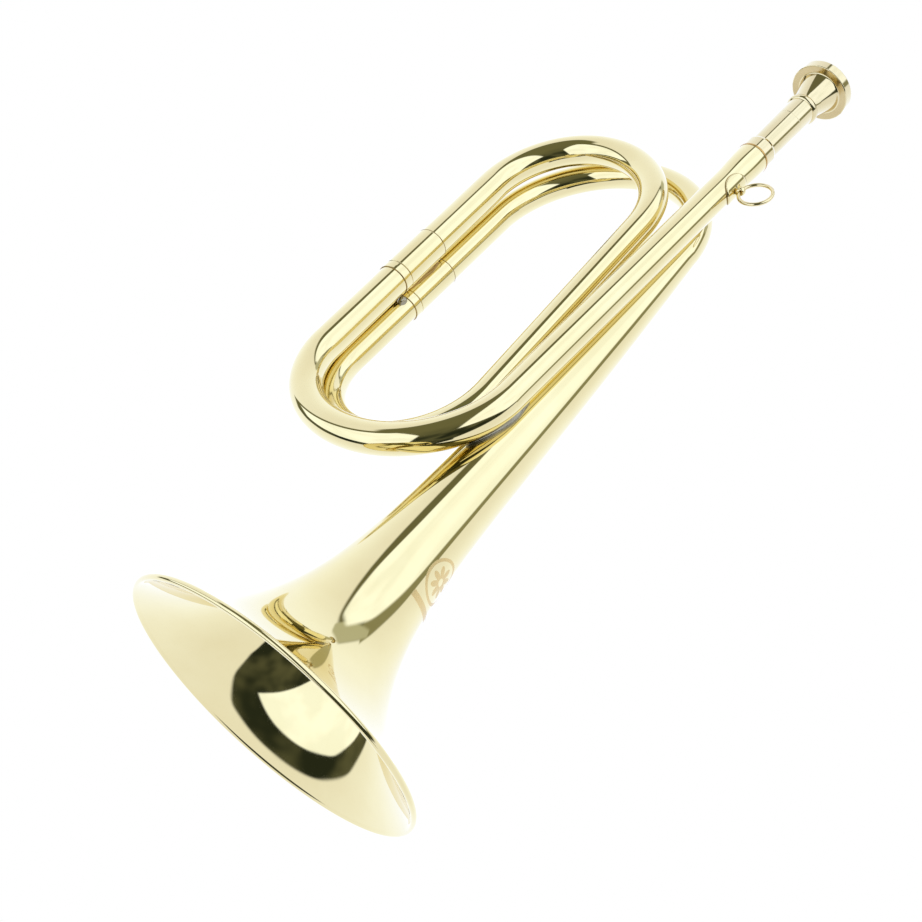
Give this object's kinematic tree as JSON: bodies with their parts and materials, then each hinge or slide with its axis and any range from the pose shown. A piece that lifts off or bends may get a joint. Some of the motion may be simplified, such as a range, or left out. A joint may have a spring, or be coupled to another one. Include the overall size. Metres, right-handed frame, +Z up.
{
  "type": "bugle",
  "caption": "Brass bugle: a long looped tube with a flared bell, a removable cup mouthpiece and a small sling ring.",
  "frame": {"origin": "middle of the base of the object's box, in the plane of the bell's mouth", "axes": "+Z up along the bell, from its mouth to the mouthpiece; +X from the loop's free side to the bell; +Y from the leadpipe side to the bell tail side"},
  "size_m": [0.166, 0.123, 0.3679],
  "materials": {
    "polished_brass": "highly polished, clear lacquer",
    "golden_brass": "satin, slightly darker",
    "bare_wire": "drawn wire, unpolished",
    "solder": "dull grey soft solder"
  },
  "bodies": {
    "body": {"bell_flare": "polished_brass", "bell_rim_wire": "bare_wire", "bell_tail": "polished_brass", "rear_top_bow": "polished_brass", "rear_bottom_bow": "polished_brass", "middle_straight": "polished_brass", "front_top_bow": "polished_brass", "front_bottom_bow": "polished_brass", "leadpipe": "polished_brass", "front_ferrule": "polished_brass", "rear_ferrule": "polished_brass", "receiver_ring": "golden_brass", "receiver_sleeve": "polished_brass", "sling_saddle": "polished_brass", "solder_leadpipe": "solder", "solder_ferrules": "solder", "solder_bead": "solder"},
    "mouthpiece": {"mouthpiece_shank": "polished_brass", "mouthpiece_cup": "polished_brass"},
    "sling_ring": {"sling_ring": "polished_brass"}
  },
  "joints": [
    {"name": "mouthpiece_slide", "type": "slide", "parent": "body", "child": "mouthpiece", "axis": [0.0217, 0.0338, 0.9992], "range_m": [0, 0.024]},
    {"name": "sling_ring_hinge", "type": "hinge", "parent": "body", "child": "sling_ring", "pos_m": [0.03406, -0.01515, 0.2851], "axis": [0.0217, 0.0338, 0.9992], "range_deg": [-100, 100]}
  ]
}
